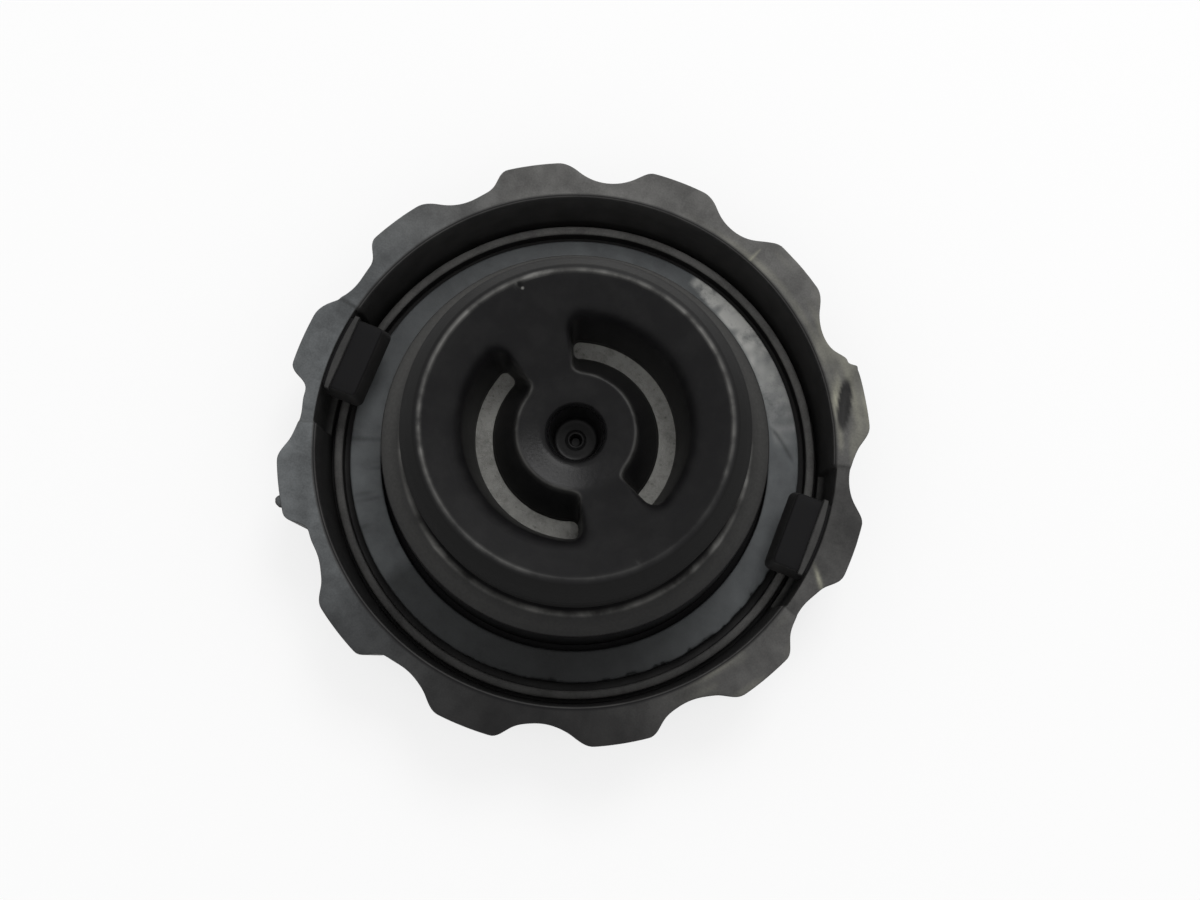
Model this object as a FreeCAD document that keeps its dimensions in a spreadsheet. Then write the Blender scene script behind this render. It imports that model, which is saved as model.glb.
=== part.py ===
import FreeCAD, Part
import Sketcher
import math
import os
import re

# Power steering reservoir cap, lying on its crown with the underside up.
# The origin is the centre of the crown's outer face and +Z points out of the mouth.
# The two bayonet lugs lie on the X axis. Millimetres and degrees throughout.

DOC = FreeCAD.newDocument("reservoir_cap")
SHEET = DOC.addObject("Spreadsheet::Sheet", "Sizes")

# Driving dimensions: the alias, the value and what it is
SIZES = [
    ("skirt_height", 11.0, "crown face to rim"),
    ("skirt_draft", 1.5, "outside taper towards the crown"),
    ("crown_wall", 2.4, "thickness of the crown"),
    ("crown_bevel", 0.6, "bevel of the crown's edge on the lobes"),
    ("lobe_wall", 3.9, "mouth wall out to the tips of the grip lobes"),
    ("mouth_draft", 1.0, "inside taper towards the crown"),
    ("lobe_count", 12, "grip lobes"),
    ("valley_depth", 2.07, "hollow between two lobes"),
    ("valley_round", 5.5, "radius of the hollow's bottom"),
    ("steep_flank", 44.0, "slope of the side after a lobe"),
    ("gentle_flank", 36.0, "slope of the side before a lobe"),
    ("rib_gap", 0.6, "mouth wall in to the thin rib"),
    ("rib_width", 0.9, "width of the rib"),
    ("rib_height", 2.0, "height of the rib over the crown's inner face"),
    ("spigot_wall", 1.9, "wall of the spigot inside the plug"),
    ("spigot_grip", 2.0, "length of the spigot in the plug's upper bore"),
    ("lug_reach", 3.85, "bayonet lugs in from the mouth wall"),
    ("lug_length", 8.5, "length of a lug's underside"),
    ("lug_draft", 9.0, "slope of a lug's sides towards its face"),
    ("lug_drop", 0.7, "rim down to a lug's face"),
    ("lug_thick", 3.0, "thickness of a lug"),
    ("lug_root", 0.67, "mouth wall in to the step at a lug's root"),
    ("recess_drop", 0.35, "lowered rim beside the lugs"),
    ("recess_reach", 0.45, "widening of the mouth beside the lugs"),
    ("recess_far_angle", 33.4, "length of the lowered rim at the second lug"),
    ("recess_near_angle", 27.4, "length of the lowered rim at the first lug"),
    ("recess_near_turn", 3.4, "turn of the lowered rim at the first lug"),
    ("seal_slack", 0.8, "bore of the seal round the plug"),
    ("seal_width", 3.1, "width of the seal"),
    ("seal_side_gap", 0.75, "seal's outer edge to the rib"),
    ("seal_thick", 1.5, "thickness of the seal"),
    ("seal_bevel", 0.25, "bevel of the seal's upper edges"),
    ("barrel_radius", 16.7, "straight barrel of the plug"),
    ("barrel_length", 6.3, "length of the barrel"),
    ("shoulder_step", 3.25, "plug's foot beyond the barrel"),
    ("shoulder_taper", 0.5, "narrowing of the foot up to the shoulder"),
    ("shoulder_proud", 1.1, "rim up to the shoulder's edge"),
    ("shoulder_rise", 1.1, "rise of the shoulder's sloped face"),
    ("ledge_lip", 0.8, "inner edge of that face beyond the barrel"),
    ("groove_depth", 0.25, "groove at the barrel's foot, below its surface"),
    ("groove_width", 0.5, "height of that groove"),
    ("taper_low", 1.3, "height of the first taper of the tip"),
    ("taper_low_inset", 0.6, "first taper's narrowing"),
    ("taper_high", 1.2, "height of the second taper"),
    ("tip_inset", 1.85, "barrel in to the ring at the tip"),
    ("tip_width", 0.56, "width of that ring"),
    ("funnel_depth", 4.8, "tip down to the disc's edge"),
    ("disc_radius", 5.8, "disc between the windows"),
    ("disc_dish", 0.5, "disc's edge down to the mouth of the pit"),
    ("pit_radius", 2.75, "mouth of the pit"),
    ("pit_taper", 0.55, "narrowing of the pit down to its floor"),
    ("pit_depth", 4.4, "depth of the pit"),
    ("pit_web", 1.2, "plastic under the pit's floor"),
    ("hub_radius", 4.2, "hub round the pit, from below"),
    ("barrel_wall", 2.1, "wall of the barrel"),
    ("foot_wall", 2.75, "wall of the foot"),
    ("window_depth", 4.4, "disc's edge down to the bottom of the windows"),
    ("window_gap", 2.46, "disc's edge out to a window's inner edge at its bottom"),
    ("window_width", 1.7, "width of a window at its bottom"),
    ("window_flare", 0.146, "outward flare of a window per mm of height"),
    ("window_angle", 138.5, "length of a window"),
    ("window_turn", 45.0, "middle of the first window from the first lug"),
    ("filter_thick", 1.6, "thickness of the vent filter"),
    ("fit_gap", 0.1, "clearance between pieces that slip together"),
    ("nub_radius", 0.7, "burr on a lobe"),
    ("nub_angle", 32.0, "place of the burr"),
    ("nub_drop", 0.9, "rim down to the middle of the burr"),
    ("gouge_sweep_angle", 12.0, "length of the long hollow in the damaged lobe"),
    ("gouge_width", 1.1, "width of that hollow at the rim"),
    ("gouge_floor", 0.4, "width of its floor"),
    ("gouge_depth", 0.6, "depth of that hollow"),
    ("gouge_angle", 211.5, "place of that hollow"),
    ("gouge_inset", 1.45, "that hollow in from the lobe's tip"),
]

for row, (alias, value, note) in enumerate(SIZES, start=1):
    SHEET.set(f"A{row}", note)
    SHEET.set(f"B{row}", str(value))
    SHEET.setAlias(f"B{row}", alias)
DOC.recompute()

# Radii and heights that several pieces share, worked out from the sizes
FOOT = "(barrel_radius + shoulder_step)"
SEAL_INNER = f"({FOOT} + seal_slack)"
SEAL_OUTER = f"({SEAL_INNER} + seal_width)"
RIB_INNER = f"({SEAL_OUTER} + seal_side_gap)"
RIB_OUTER = f"({RIB_INNER} + rib_width)"
MOUTH = f"({RIB_OUTER} + rib_gap)"
MOUTH_FOOT = f"({MOUTH} - (skirt_height - crown_wall) * tan(mouth_draft * 1 deg))"
TIPS = f"({MOUTH} + lobe_wall)"
CROWN_EDGE = f"({TIPS} - skirt_height * tan(skirt_draft * 1 deg))"
UPPER_BORE = "(barrel_radius - barrel_wall)"
FOOT_BORE = f"({FOOT} - foot_wall)"
SPIGOT = f"({UPPER_BORE} - fit_gap)"
SHOULDER_Z = "(skirt_height + shoulder_proud)"
BARREL_Z = f"({SHOULDER_Z} + shoulder_rise)"
BARREL_TOP_Z = f"({BARREL_Z} + barrel_length)"
TIP_Z = f"({BARREL_TOP_Z} + taper_low + taper_high)"
TIP = "(barrel_radius - tip_inset)"
DISC_Z = f"({TIP_Z} - funnel_depth)"
PIT_Z = f"({DISC_Z} - disc_dish)"
PIT_FLOOR_Z = f"({PIT_Z} - pit_depth)"
WINDOW_Z = f"({DISC_Z} - window_depth)"
FILTER_Z = f"({WINDOW_Z} - filter_thick)"
WINDOW_INNER = "(disc_radius + window_gap)"
WINDOW_OUTER = f"({WINDOW_INNER} + window_width)"


def size(expression):
    """The value of an expression of the sheet's aliases."""
    value = SHEET.evalExpression(expression)
    return float(getattr(value, "Value", value))


def qualified(expression):
    """The expression with each alias under the sheet's name, as other objects write it."""
    aliases = {alias for alias, _, _ in SIZES}

    def named(word):
        return "Sizes." * (word[0] in aliases) + word[0]

    return re.sub(r"[a-z_]+", named, expression)


def origin_feature(body, role):
    return next(f for f in body.Origin.OriginFeatures if f.Role == role)


def new_body(name):
    body = DOC.addObject("PartDesign::Body", name + "_body")
    body.Label = name
    return body


def new_sketch(body, name, role, lift=None, turn=None):
    """A sketch on one of the body's own planes, lifted and turned about the Z axis."""
    sketch = body.newObject("Sketcher::SketchObject", name)
    sketch.AttachmentSupport = [(origin_feature(body, role), "")]
    sketch.MapMode = "FlatFace"
    axis = FreeCAD.Vector(0, 0, 1) if role == "XY_Plane" else FreeCAD.Vector(0, 1, 0)
    spin = FreeCAD.Rotation(axis, size(turn) if turn else 0)
    sketch.AttachmentOffset = FreeCAD.Placement(FreeCAD.Vector(0, 0, 0), spin)
    if lift:
        sketch.setExpression("AttachmentOffset.Base.z", f"({qualified(lift)}) * 1 mm")
    if turn:
        sketch.setExpression("AttachmentOffset.Rotation.Angle", f"({qualified(turn)}) * 1 deg")
    return sketch


def arc_between(start, end, radius, sign):
    """The arc under half a turn from start to end, turning left for plus and right for minus."""
    chord = end - start
    reach = math.sqrt(max(radius * radius - chord.Length**2 / 4, 0.0))
    left = FreeCAD.Vector(-chord.y, chord.x, 0).normalize()
    centre = (start + end) * 0.5 + left * reach * sign
    circle = Part.Circle(centre, FreeCAD.Vector(0, 0, 1), radius)
    first, last = (start, end) if sign > 0 else (end, start)
    return Part.ArcOfCircle(circle, circle.parameter(first), circle.parameter(last))


def outline(sketch, points, arcs=None):
    """A closed outline through points given as expressions. arcs holds, for the side
    that starts at a point, the arc's radius and the sign of its turn."""
    arcs = arcs or {}
    places = [FreeCAD.Vector(size(x), size(y), 0) for x, y in points]
    start_end = {}
    for side, start in enumerate(places):
        end = places[(side + 1) % len(places)]
        radius, sign = arcs.get(side, (None, 1))
        if radius:
            sketch.addGeometry(arc_between(start, end, size(radius), sign))
        else:
            sketch.addGeometry(Part.LineSegment(start, end))
        start_end[side] = (1, 2) if sign > 0 else (2, 1)
    for side, place in enumerate(points):
        after = (side + 1) % len(points)
        sketch.addConstraint(
            Sketcher.Constraint(
                "Coincident", side, start_end[side][1], after, start_end[after][0]
            )
        )
        for kind, expression in zip(("DistanceX", "DistanceY"), place):
            where = (-1, 1, side, start_end[side][0])
            index = sketch.addConstraint(Sketcher.Constraint(kind, *where, size(expression)))
            if expression != "0":
                bound = f"({qualified(expression)}) * 1 mm"
                sketch.setExpression(f"Constraints[{index}]", bound)
        if side in arcs:
            radius = arcs[side][0]
            index = sketch.addConstraint(Sketcher.Constraint("Radius", side, size(radius)))
            sketch.setExpression(f"Constraints[{index}]", f"({qualified(radius)}) * 1 mm")


def sector(sketch, inner, outer, angle):
    """A piece of a ring, in the middle of which the sketch's X axis runs."""
    half = f"(({angle}) / 2 * 1 deg)"
    corners = [(inner, "-"), (outer, "-"), (outer, ""), (inner, "")]
    points = [(f"{r} * cos({half})", f"{s}{r} * sin({half})") for r, s in corners]
    outline(sketch, points, {1: (outer, 1), 3: (inner, -1)})


def feature(body, kind, name, **settings):
    made = body.newObject("PartDesign::" + kind, name)
    for key, value in settings.items():
        setattr(made, key, value)
    body.Tip = made
    return made


def revolve(body, name, points, arcs=None):
    """A solid turned about the Z axis from a section in radius and height."""
    section = new_sketch(body, name + "_section", "XZ_Plane")
    outline(section, points, arcs)
    turned = feature(body, "Revolution", name, Profile=section, Angle=360.0)
    turned.ReferenceAxis = (section, ["V_Axis"])
    DOC.recompute()
    return turned


def turned_cut(body, name, points, turn, angle):
    """A cut with a section in radius and height, turned half the angle to each side."""
    section = new_sketch(body, name + "_section", "XZ_Plane", turn=turn)
    outline(section, points)
    made = feature(body, "Groove", name, Profile=section, Midplane=True)
    made.ReferenceAxis = (section, ["V_Axis"])
    made.setExpression("Angle", f"({qualified(angle)}) * 1 deg")
    before = body.Shape.Volume
    DOC.recompute()
    if body.Shape.Volume > before - 0.01:
        raise RuntimeError(f"{name} cut nothing")
    return made


def lengthwise(body, kind, name, sketch, length, upward):
    """A pad or a pocket of a stated length, up or down from its sketch."""
    made = feature(body, kind, name, Profile=sketch)
    made.Reversed = upward if kind == "Pocket" else not upward
    made.setExpression("Length", f"({qualified(length)}) * 1 mm")
    before = body.Shape.Volume
    DOC.recompute()
    grown = body.Shape.Volume - before
    if grown * (-1 if kind == "Pocket" else 1) < 0.01:
        raise RuntimeError(f"{name} changed the volume by {grown}")
    return made


def around(body, name, original, count):
    """Copies of one feature, evenly round the Z axis."""
    made = feature(body, "PolarPattern", name, Originals=[original], Angle=360.0)
    made.Axis = (origin_feature(body, "Z_Axis"), [""])
    made.setExpression("Occurrences", qualified(count))
    DOC.recompute()
    return made


def cap_shell():
    """Crown, lobed skirt, rib, spigot and bayonet lugs, moulded in one."""
    body = new_body("cap_shell")
    revolve(
        body,
        "crown_and_skirt",
        [
            ("0", "0"),
            (f"{CROWN_EDGE} - crown_bevel", "0"),
            (f"{CROWN_EDGE}", "crown_bevel"),
            (TIPS, "skirt_height"),
            (MOUTH, "skirt_height"),
            (MOUTH_FOOT, "crown_wall"),
            (RIB_OUTER, "crown_wall"),
            (RIB_OUTER, "crown_wall + rib_height"),
            (RIB_INNER, "crown_wall + rib_height"),
            (RIB_INNER, "crown_wall"),
            (SPIGOT, "crown_wall"),
            (SPIGOT, FILTER_Z),
            (f"{SPIGOT} - spigot_wall", FILTER_Z),
            (f"{SPIGOT} - spigot_wall", "crown_wall"),
            ("0", "crown_wall"),
        ],
    )
    grip_lobes(body)
    for turn, name, wide, shift in (
        ("0", "near", "recess_near_angle", "recess_near_turn"),
        ("180", "far", "recess_far_angle", "0"),
    ):
        lowered_rim(body, name, f"{turn} + {shift}", wide)
        bayonet_lug(body, name, turn)
    damaged_lobes(body)
    return body


def grip_lobes(body):
    """The hollows between the lobes: a round bottom and two straight flanks, all tapered."""
    middle = f"({TIPS} - valley_depth + valley_round)"
    beyond = "(valley_depth * 2)"
    left, right = "(gentle_flank * 1 deg)", "(steep_flank * 1 deg)"
    foot_l = (f"-valley_round * sin{left}", f"{middle} - valley_round * cos{left}")
    foot_r = (f"valley_round * sin{right}", f"{middle} - valley_round * cos{right}")
    top_l = (f"{foot_l[0]} - {beyond} / tan{left}", f"{foot_l[1]} + {beyond}")
    top_r = (f"{foot_r[0]} + {beyond} / tan{right}", f"{foot_r[1]} + {beyond}")
    sketch = new_sketch(body, "valley_outline", "XY_Plane", "skirt_height", "180 / lobe_count - 90")
    outline(sketch, [foot_l, foot_r, top_r, top_l], {0: ("valley_round", 1)})
    valley = lengthwise(body, "Pocket", "valley", sketch, "skirt_height", upward=False)
    valley.setExpression("TaperAngle", "Sizes.skirt_draft * 1 deg")
    DOC.recompute()
    around(body, "valleys", valley, "lobe_count")


def lowered_rim(body, name, turn, angle):
    """The rim is a little lower and the mouth a little wider beside each lug."""
    sketch = new_sketch(body, name + "_recess_outline", "XY_Plane", "skirt_height", turn)
    sector(sketch, RIB_OUTER, f"({TIPS} + valley_depth)", angle)
    lengthwise(body, "Pocket", name + "_recess", sketch, "recess_drop", upward=False)
    sketch = new_sketch(body, name + "_relief_outline", "XY_Plane", "skirt_height", turn)
    sector(sketch, RIB_OUTER, f"({MOUTH} + recess_reach)", angle)
    depth = "skirt_height - crown_wall - rib_height"
    lengthwise(body, "Pocket", name + "_relief", sketch, depth, upward=False)


def bayonet_lug(body, name, turn):
    """A straight-sided lug stands in from the mouth wall, with a higher step at its root."""
    root = f"({MOUTH} + lobe_wall / 2 - valley_depth / 2)"
    narrowing = "(lug_thick * tan(lug_draft * 1 deg))"
    under = "skirt_height - lug_drop - lug_thick"
    sketch = new_sketch(body, name + "_lug_outline", "XY_Plane", under, turn)
    near, far, end = f"{MOUTH} - lug_reach", f"{root} + {narrowing}", "lug_length / 2"
    outline(sketch, [(near, f"-{end}"), (far, f"-{end}"), (far, end), (near, end)])
    lug = lengthwise(body, "Pad", name + "_lug", sketch, "lug_thick", upward=True)
    lug.setExpression("TaperAngle", "-Sizes.lug_draft * 1 deg")
    DOC.recompute()
    sketch = new_sketch(body, name + "_root_outline", "XY_Plane", under, turn)
    chord, side = f"{MOUTH} - lug_root", f"({end} - {narrowing} / 2)"
    outline(sketch, [(chord, f"-{side}"), (root, f"-{side}"), (root, side), (chord, side)])
    lengthwise(body, "Pad", name + "_root", sketch, "lug_thick + lug_drop - recess_drop", upward=True)


def damaged_lobes(body):
    """A burr stands out of one lobe, and another has a long hollow in its rim."""
    burr = feature(body, "AdditiveSphere", "burr", Radius=size("nub_radius"))
    burr.setExpression("Radius", "Sizes.nub_radius * 1 mm")
    place(burr, f"{TIPS} - nub_radius / 4", "nub_angle", "skirt_height - nub_drop")
    middle, floor = f"{TIPS} - gouge_inset", "skirt_height - gouge_depth"
    section = [
        (f"{middle} - gouge_width / 2", "skirt_height"),
        (f"{middle} - gouge_floor / 2", floor),
        (f"{middle} + gouge_floor / 2", floor),
        (f"{middle} + gouge_width / 2", "skirt_height"),
    ]
    turned_cut(body, "gouge", section, "gouge_angle", "gouge_sweep_angle")


def place(made, radius, angle, height):
    """Puts a primitive at a radius, an angle and a height, turned to face outwards."""
    spin = FreeCAD.Rotation(FreeCAD.Vector(0, 0, 1), size(angle))
    made.Placement = FreeCAD.Placement(FreeCAD.Vector(0, 0, 0), spin)
    bearing = f"({qualified(angle)}) * 1 deg"
    made.setExpression("Placement.Base.x", f"({qualified(radius)}) * cos({bearing}) * 1 mm")
    made.setExpression("Placement.Base.y", f"({qualified(radius)}) * sin({bearing}) * 1 mm")
    made.setExpression("Placement.Base.z", f"({qualified(height)}) * 1 mm")
    made.setExpression("Placement.Rotation.Angle", bearing)
    DOC.recompute()


def plug_cup():
    """The stepped plug: foot, shoulder, barrel, tapered tip, funnel, disc, pit and windows."""
    body = new_body("plug_cup")
    groove_foot_z = f"({BARREL_Z} - groove_width / 2)"
    foot_bore_z = f"({FILTER_Z} - spigot_grip)"
    revolve(
        body,
        "plug",
        [
            ("0", f"{PIT_FLOOR_Z} - pit_web"),
            ("hub_radius", f"{PIT_FLOOR_Z} - pit_web"),
            ("hub_radius", WINDOW_Z),
            (UPPER_BORE, WINDOW_Z),
            (UPPER_BORE, foot_bore_z),
            (FOOT_BORE, foot_bore_z),
            (FOOT_BORE, "crown_wall"),
            (FOOT, "crown_wall"),
            (f"{FOOT} - shoulder_taper", SHOULDER_Z),
            ("barrel_radius + ledge_lip", BARREL_Z),
            ("barrel_radius - groove_depth", groove_foot_z),
            ("barrel_radius - groove_depth", f"{groove_foot_z} + groove_width"),
            ("barrel_radius", f"{groove_foot_z} + groove_width + groove_depth"),
            ("barrel_radius", BARREL_TOP_Z),
            ("barrel_radius - taper_low_inset", f"{BARREL_TOP_Z} + taper_low"),
            (f"{TIP} + tip_width / 2", TIP_Z),
            (f"{TIP} - tip_width / 2", TIP_Z),
            ("disc_radius", DISC_Z),
            ("pit_radius", PIT_Z),
            ("pit_radius - pit_taper", PIT_FLOOR_Z),
            ("0", PIT_FLOOR_Z),
        ],
    )
    windows(body)
    return body


def windows(body):
    """Two long curved windows, wider at the funnel than at the bottom."""
    tall = f"({TIP_Z} - {WINDOW_Z})"
    section = [
        (WINDOW_INNER, WINDOW_Z),
        (WINDOW_OUTER, WINDOW_Z),
        (f"{WINDOW_OUTER} + {tall} * window_flare", TIP_Z),
        (f"{WINDOW_INNER} - {tall} * window_gap / window_depth", TIP_Z),
    ]
    window = turned_cut(body, "window", section, "window_turn", "window_angle")
    around(body, "windows", window, "2")


def seal_ring():
    """The flat rubber ring, with its upper edges bevelled."""
    body = new_body("seal_ring")
    top = "(crown_wall + seal_thick)"
    revolve(
        body,
        "seal",
        [
            (SEAL_INNER, "crown_wall"),
            (SEAL_OUTER, "crown_wall"),
            (SEAL_OUTER, f"{top} - seal_bevel"),
            (f"{SEAL_OUTER} - seal_bevel", top),
            (f"{SEAL_INNER} + seal_bevel", top),
            (SEAL_INNER, f"{top} - seal_bevel"),
        ],
    )
    return body


def vent_filter():
    """The filter ring under the windows, round the plug's hub and on the spigot."""
    body = new_body("vent_filter")
    inner, outer = "(hub_radius + fit_gap)", SPIGOT
    corners = [(inner, FILTER_Z), (outer, FILTER_Z), (outer, WINDOW_Z), (inner, WINDOW_Z)]
    revolve(body, "filter", corners)
    return body


def write(bodies):
    """Stops at a failed object or solid, then writes each piece to its own file."""
    for made in DOC.Objects:
        if {"Invalid", "Error"} & set(made.State):
            raise RuntimeError(f"{made.Name} failed: {made.State}")
    os.makedirs("parts", exist_ok=True)
    for body in bodies:
        if body.Shape.isNull() or not body.Shape.isValid():
            raise RuntimeError(f"{body.Label} is not a valid solid")
        body.Shape.exportStep(f"parts/{body.Label}.step")
        print(body.Label, len(body.Shape.Solids), round(body.Shape.Volume, 2))


write([cap_shell(), plug_cup(), seal_ring(), vent_filter()])
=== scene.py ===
# %% [markdown]
# # A worn reservoir cap, lying on its crown
#
# The cap has four pieces: a lobed shell, a stepped plug with two curved vent windows,
# a flat rubber ring round the plug's foot, and a filter seen through the windows.
# The imported model is loaded first. It gives every piece its place and size, and the
# surfaces below are drawn over it in the same frame, in metres, with the crown on z = 0.

# %% Load the frame
import math

import bpy
import numpy as np
from mathutils import Matrix, Vector


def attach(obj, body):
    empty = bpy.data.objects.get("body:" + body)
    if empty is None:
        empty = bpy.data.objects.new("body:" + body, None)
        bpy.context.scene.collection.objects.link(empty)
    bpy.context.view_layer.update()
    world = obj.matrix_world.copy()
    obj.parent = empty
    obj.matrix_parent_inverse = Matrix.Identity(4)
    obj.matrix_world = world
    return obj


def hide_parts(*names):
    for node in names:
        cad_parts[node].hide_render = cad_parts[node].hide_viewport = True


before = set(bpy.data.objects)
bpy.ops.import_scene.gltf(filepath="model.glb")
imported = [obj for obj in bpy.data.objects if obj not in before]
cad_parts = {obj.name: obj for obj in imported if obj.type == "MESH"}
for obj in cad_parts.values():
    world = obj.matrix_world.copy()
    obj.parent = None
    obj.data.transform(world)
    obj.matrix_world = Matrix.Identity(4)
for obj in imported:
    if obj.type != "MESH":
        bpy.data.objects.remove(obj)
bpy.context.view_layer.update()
print("pieces", sorted(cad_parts))

# %% [markdown]
# ## The camera
#
# The photograph was taken from close by, so near things look larger: the rim on the
# camera's side hides the outside of the skirt. The camera stands about 14 cm up, a little
# to one side, and the cap is turned so that its first lug lies at the left of the picture.

# %% Camera
CAMERA_AT = Vector((-8.10, 22.71, 139.10)) / 1000
LOOKS_AT = Vector((-2.56, -0.17, 11.30)) / 1000
PICTURE_UP = math.radians(291.53)

camera = bpy.data.objects.new("camera", bpy.data.cameras.new("camera"))
bpy.context.scene.collection.objects.link(camera)
camera.data.lens, camera.data.sensor_width = 38.78, 36.0
back = (CAMERA_AT - LOOKS_AT).normalized()
up = Vector((math.cos(PICTURE_UP), math.sin(PICTURE_UP), 0))
right = up.cross(back).normalized()
turn = Matrix((right, back.cross(right), back)).transposed()
camera.matrix_world = Matrix.Translation(CAMERA_AT) @ turn.to_4x4()
camera.data.clip_start, camera.data.clip_end = 0.005, 5.0
bpy.context.scene.camera = camera
print("camera", round((CAMERA_AT - LOOKS_AT).length * 1000, 1), "mm from the cap")


def towards(picture_angle):
    """Unit vector on the floor that points along this angle of the picture: 0 right, 90 up."""
    bearing = PICTURE_UP - math.pi / 2 + math.radians(picture_angle)
    return Vector((math.cos(bearing), math.sin(bearing), 0))


# %% [markdown]
# ## Helpers for the surfaces
#
# Every new piece is a grid of points: one direction runs along a section, the other goes
# round the cap's axis. A section's ends that lie on the axis close in a pole. Small edges
# are rounded by bending the section with a short curve at each corner.

# %% Grid to mesh
MM = 0.001


def piece(name, parts):
    """One mesh from several (points, quads) pairs. Points that coincide are merged, and a
    quad that loses a corner in this becomes a triangle."""
    points = np.concatenate([p for p, _ in parts])
    starts = np.cumsum([0] + [len(p) for p, _ in parts[:-1]])
    quads = np.concatenate([q + start for (_, q), start in zip(parts, starts)])
    rounded = np.round(points, 5)
    _, first, merged = np.unique(rounded, axis=0, return_index=True, return_inverse=True)
    quads = merged.reshape(-1)[quads]
    folded = quads == np.roll(quads, -1, axis=1)
    once = folded.sum(axis=1) == 1
    triangles = quads[once][~folded[once]].reshape(-1, 3)
    faces = quads[~folded.any(axis=1)].tolist() + triangles.tolist()
    mesh = bpy.data.meshes.new(name)
    mesh.from_pydata(points[first] * MM, [], faces)
    mesh.validate()
    mesh.shade_smooth()
    made = bpy.data.objects.new(name, mesh)
    bpy.context.scene.collection.objects.link(made)
    count = sum(len(p.vertices) - 2 for p in mesh.polygons)
    print(name, len(mesh.vertices), "points,", count, "triangles")
    return made


def grid(points):
    """Points (n, m, 3) in rows along the section and columns round the axis, with the
    quads between them. The last column joins the first."""
    n, m = points.shape[:2]
    index = np.arange(n * m).reshape(n, m)
    after = np.roll(index, -1, axis=1)
    quads = np.stack([index[:-1], after[:-1], after[1:], index[1:]], axis=-1)
    return points.reshape(-1, 3), quads.reshape(-1, 4)


def polar(radius, angle, height):
    """Points from radius, angle in radians and height: x = r cos a, y = r sin a, z."""
    radius, angle, height = np.broadcast_arrays(radius, angle, height)
    return np.stack([radius * np.cos(angle), radius * np.sin(angle), height], axis=-1)


# %% Rounded sections
def section(corners, rounds, steps):
    """A section through corners (r, z). Corner i is replaced by the curve
    (1-t)^2 A + 2t(1-t) corner + t^2 B, where A and B lie rounds[i] before and after it.
    Each run of the path is then cut into pieces no longer than the step of the corner
    nearest to the run's end."""
    corners = np.array(corners, float)
    path = [corners[:1]]
    t = np.linspace(0, 1, 6)[:, None]
    for i in range(1, len(corners)):
        if i == len(corners) - 1 or rounds[i] == 0:
            path.append(corners[i : i + 1])
            continue
        ahead, after = corners[i] - path[-1][-1], corners[i + 1] - corners[i]
        a = corners[i] - ahead / np.linalg.norm(ahead) * rounds[i]
        b = corners[i] + after / np.linalg.norm(after) * rounds[i]
        path.append((1 - t) ** 2 * a + 2 * t * (1 - t) * corners[i] + t**2 * b)
    path = np.concatenate(path)
    full = [path[:1]]
    for start, end in zip(path[:-1], path[1:]):
        nearest = int(np.argmin([np.linalg.norm(corner - end) for corner in corners]))
        run = max(1, int(np.ceil(np.linalg.norm(end - start) / steps[nearest])))
        share = np.linspace(0, 1, run + 1)[1:, None]
        full.append(start + share * (end - start))
    return np.concatenate(full)


def soft_step(x, start, end):
    """0 before start and 1 after end, with the smooth rise 3t^2 - 2t^3 between them."""
    t = np.clip((x - start) / (end - start), 0, 1)
    return t * t * (3 - 2 * t)


def bump(distance, width):
    """A smooth hill: exp(-(distance / width)^2)."""
    return np.exp(-((distance / width) ** 2))


def apart(angle, bearing):
    """The turn in radians, between -pi and pi, from a bearing in degrees to each angle."""
    return (angle - math.radians(bearing) + np.pi) % (2 * np.pi) - np.pi


def waves(x, y, seed, finest=1.0):
    """Irregular but repeatable unevenness between about -1 and 1: a sum of sine waves of
    random direction and phase, the longest of them six times the finest."""
    count = 14
    rng = np.random.default_rng(seed)
    total = np.zeros(np.broadcast(x, y).shape)
    for _ in range(count):
        length = finest * rng.uniform(1, 6)
        bearing, phase = rng.uniform(0, 2 * np.pi, 2)
        total += np.sin((x * np.cos(bearing) + y * np.sin(bearing)) * 2 * np.pi / length + phase)
    return total / np.sqrt(count / 2) / 1.6


print("rows of a test corner:", len(section([(0, 0), (1, 0), (1, 1)], [0, 0.2, 0], [1, 1, 1])))

# %% [markdown]
# ## The lobed shell
#
# Crown, skirt, thin rib and the hidden spigot are one moulding, so they are one section
# turned about the axis. The lobes are put in afterwards: each point near the outside moves
# in by as much as the lobed outline lies inside the circle through the tips. A share of
# that move, falling to nothing at the mouth, is given to the rim's flat face.

# %% Sizes of the shell, in mm
TIPS, RIM, FLOOR = 30.0, 11.0, 2.4
SKIRT_DRAFT, MOUTH_DRAFT = math.tan(math.radians(1.5)), math.tan(math.radians(1.0))
MOUTH, RIB_OUT, RIB_IN, RIB_TOP, CROWN_FLAT = 26.1, 25.5, 24.6, 4.1, 24.0
LOBES, HOLLOW_DEEP, HOLLOW_ROUND = 12, 2.07, 5.5
STEEP, GENTLE = math.radians(44), math.radians(36)
TIP_MIDDLE = math.radians(0.4)
TRIM_BEFORE = [0.05, -0.3, -0.32, -0.2, -0.12, -0.3, -0.4, -0.25, 0, 0.05, 0, 0]
TRIM_AFTER = [-0.75, -0.75, -0.45, -0.18, -0.18, -0.16, -0.04, 0.5, 0.15, -0.03, -0.35, -0.48]
TIP_EASE, SPARE = 1.15, 0.015
SPIGOT, SPIGOT_WALL, SPIGOT_TOP = 14.5, 1.9, 11.2


def tips_at(z):
    """Radius of the lobes' tips at height z: the skirt narrows 1.5 degrees to the crown."""
    return TIPS - (RIM - z) * SKIRT_DRAFT


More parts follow.
